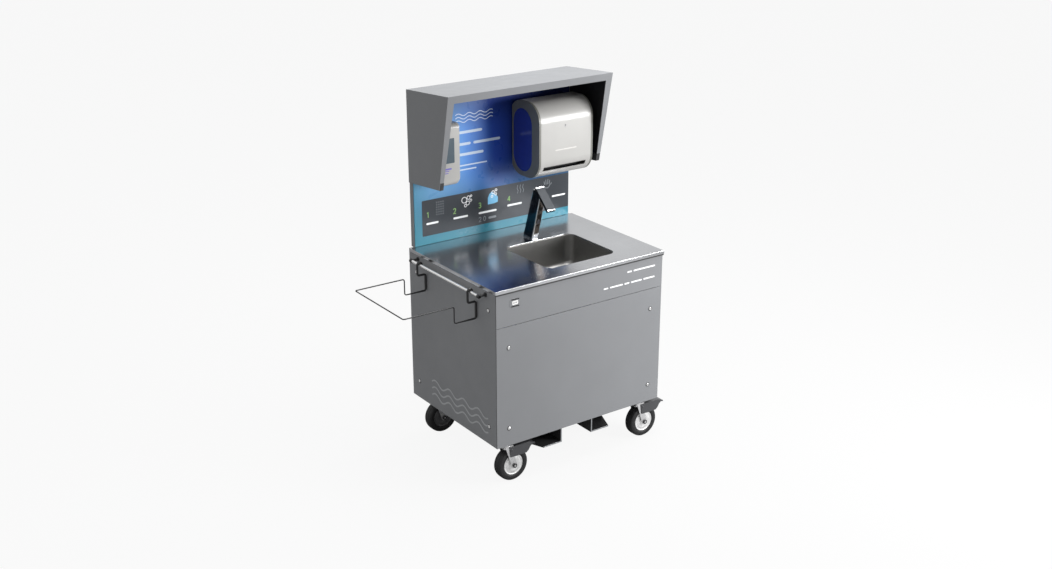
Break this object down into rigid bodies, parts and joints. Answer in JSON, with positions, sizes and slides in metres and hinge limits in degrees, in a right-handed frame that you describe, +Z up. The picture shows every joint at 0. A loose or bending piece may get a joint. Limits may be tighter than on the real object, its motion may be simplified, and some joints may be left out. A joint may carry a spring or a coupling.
{
  "type": "portable handwash sink",
  "caption": "Mobile hand-wash station: steel cabinet on swivel casters with stainless basin, sensor faucet, hooded backboard with towel and soap dispensers, and a side wire rack.",
  "frame": {"origin": "on the floor, below the centre of the box round the whole station with its side rack", "axes": "+Z up, +X to the right of a person at the basin, +Y from the front to the backboard"},
  "size_m": [1.269, 0.684, 1.597],
  "materials": {
    "black_lining": "matt",
    "black_plastic": "matt",
    "black_steel": "satin",
    "black_wire": "satin",
    "blue_window": "gloss",
    "cap_plastic": "satin",
    "chrome": "polished",
    "clear_bottle": "gloss",
    "clear_tube": "gloss",
    "dark_window": "gloss",
    "frame_steel": "satin",
    "grey_paint": "satin",
    "grey_plastic": "satin",
    "paper": "matt",
    "pedal_plastic": "satin",
    "printed_board": "satin print",
    "screw_steel": "bright",
    "stainless": "brushed",
    "tank_plastic": "satin",
    "tyre": "matt",
    "white_plastic": "satin",
    "white_window": "gloss",
    "zinc_steel": "zinc plated"
  },
  "bodies": {
    "cabinet": {"frame_posts": "frame_steel", "frame_rails": "frame_steel", "base_pan": "frame_steel", "fork_channels": "black_steel", "side_panel_left": "grey_paint", "side_panel_right": "grey_paint", "front_panel": "grey_paint", "front_apron": "grey_paint", "rear_surround": "grey_paint", "panel_screws": "screw_steel", "status_bezel": "grey_paint", "status_window": "white_window", "worktop": "stainless", "sink_basin": "stainless", "drain_strainer": "stainless", "drain_tailpiece": "black_plastic", "drain_hose": "black_plastic", "faucet_leg": "chrome", "faucet_spout": "chrome", "faucet_shank": "chrome", "faucet_sensor": "dark_window", "faucet_aerator": "black_plastic", "backboard": "grey_paint", "graphic_board": "printed_board", "hood_shell": "grey_paint", "hood_liner": "black_lining", "side_rail": "stainless", "rail_mounts": "grey_paint", "towel_housing": "grey_plastic", "soap_housing": "grey_plastic", "soap_refill": "clear_bottle", "fresh_tank": "tank_plastic", "waste_tank": "tank_plastic", "tank_caps": "cap_plastic", "water_pump": "black_plastic", "battery": "black_plastic", "supply_hose": "clear_tube", "caster_plates": "zinc_steel"},
    "rack": {"wire_rack": "black_wire"},
    "towel_cover": {"towel_cover": "white_plastic", "towel_end_frames": "grey_plastic", "towel_windows": "blue_window"},
    "paper_roll": {"paper_roll": "paper"},
    "feed_roller": {"feed_roller": "black_plastic"},
    "soap_cover": {"soap_cover": "white_plastic", "soap_window": "dark_window"},
    "rear_door": {"rear_door": "grey_paint"},
    "door_latch": {"door_latch": "zinc_steel"},
    "caster_fl": {"caster_fork_fl": "zinc_steel"},
    "wheel_fl": {"caster_wheel_fl": "tyre"},
    "pedal_fl": {"brake_pedal_fl": "pedal_plastic"},
    "caster_fr": {"caster_fork_fr": "zinc_steel"},
    "wheel_fr": {"caster_wheel_fr": "tyre"},
    "pedal_fr": {"brake_pedal_fr": "pedal_plastic"},
    "caster_bl": {"caster_fork_bl": "zinc_steel"},
    "wheel_bl": {"caster_wheel_bl": "tyre"},
    "pedal_bl": {"brake_pedal_bl": "pedal_plastic"},
    "caster_br": {"caster_fork_br": "zinc_steel"},
    "wheel_br": {"caster_wheel_br": "tyre"},
    "pedal_br": {"brake_pedal_br": "pedal_plastic"}
  },
  "joints": [
    {"name": "rack_lift", "type": "hinge", "parent": "cabinet", "child": "rack", "pos_m": [-0.3215, -0.004, 0.85], "axis": [0, 1, 0], "range_deg": [0, 80]},
    {"name": "towel_cover_open", "type": "hinge", "parent": "cabinet", "child": "towel_cover", "pos_m": [0.3755, 0.284, 1.178], "axis": [1, 0, 0], "range_deg": [0, 28]},
    {"name": "roll_spin", "type": "hinge", "parent": "cabinet", "child": "paper_roll", "pos_m": [0.3755, 0.201, 1.33], "axis": [1, 0, 0], "continuous": true},
    {"name": "feed_spin", "type": "hinge", "parent": "cabinet", "child": "feed_roller", "pos_m": [0.3755, 0.146, 1.19], "axis": [1, 0, 0], "continuous": true},
    {"name": "soap_cover_open", "type": "hinge", "parent": "cabinet", "child": "soap_cover", "pos_m": [-0.1535, 0.296, 1.18], "axis": [1, 0, 0], "range_deg": [0, 45]},
    {"name": "rear_door_open", "type": "hinge", "parent": "cabinet", "child": "rear_door", "pos_m": [-0.1975, 0.3355, 0.525], "axis": [0, 0, 1], "range_deg": [0, 110]},
    {"name": "latch_turn", "type": "hinge", "parent": "rear_door", "child": "door_latch", "pos_m": [0.4435, 0.33, 0.525], "axis": [0, 1, 0], "range_deg": [0, 90]},
    {"name": "caster_fl_swivel", "type": "hinge", "parent": "cabinet", "child": "caster_fl", "pos_m": [-0.2125, -0.282, 0.165], "axis": [0, 0, 1], "continuous": true},
    {"name": "wheel_fl_roll", "type": "hinge", "parent": "caster_fl", "child": "wheel_fl", "pos_m": [-0.1835, -0.282, 0.073], "axis": [0, 1, 0], "continuous": true},
    {"name": "pedal_fl_press", "type": "hinge", "parent": "caster_fl", "child": "pedal_fl", "pos_m": [-0.1985, -0.282, 0.15], "axis": [0, 1, 0], "range_deg": [0, 5]},
    {"name": "caster_fr_swivel", "type": "hinge", "parent": "cabinet", "child": "caster_fr", "pos_m": [0.4995, -0.282, 0.165], "axis": [0, 0, 1], "continuous": true},
    {"name": "wheel_fr_roll", "type": "hinge", "parent": "caster_fr", "child": "wheel_fr", "pos_m": [0.5285, -0.282, 0.073], "axis": [0, 1, 0], "continuous": true},
    {"name": "pedal_fr_press", "type": "hinge", "parent": "caster_fr", "child": "pedal_fr", "pos_m": [0.5135, -0.282, 0.15], "axis": [0, 1, 0], "range_deg": [0, 5]},
    {"name": "caster_bl_swivel", "type": "hinge", "parent": "cabinet", "child": "caster_bl", "pos_m": [-0.2125, 0.274, 0.165], "axis": [0, 0, 1], "continuous": true},
    {"name": "wheel_bl_roll", "type": "hinge", "parent": "caster_bl", "child": "wheel_bl", "pos_m": [-0.1835, 0.274, 0.073], "axis": [0, 1, 0], "continuous": true},
    {"name": "pedal_bl_press", "type": "hinge", "parent": "caster_bl", "child": "pedal_bl", "pos_m": [-0.1985, 0.274, 0.15], "axis": [0, 1, 0], "range_deg": [0, 5]},
    {"name": "caster_br_swivel", "type": "hinge", "parent": "cabinet", "child": "caster_br", "pos_m": [0.4995, 0.274, 0.165], "axis": [0, 0, 1], "continuous": true},
    {"name": "wheel_br_roll", "type": "hinge", "parent": "caster_br", "child": "wheel_br", "pos_m": [0.5285, 0.274, 0.073], "axis": [0, 1, 0], "continuous": true},
    {"name": "pedal_br_press", "type": "hinge", "parent": "caster_br", "child": "pedal_br", "pos_m": [0.5135, 0.274, 0.15], "axis": [0, 1, 0], "range_deg": [0, 5]}
  ],
  "couplings": [
    {"joint": "roll_spin", "follows": "feed_spin", "ratio": 0.19444}
  ]
}
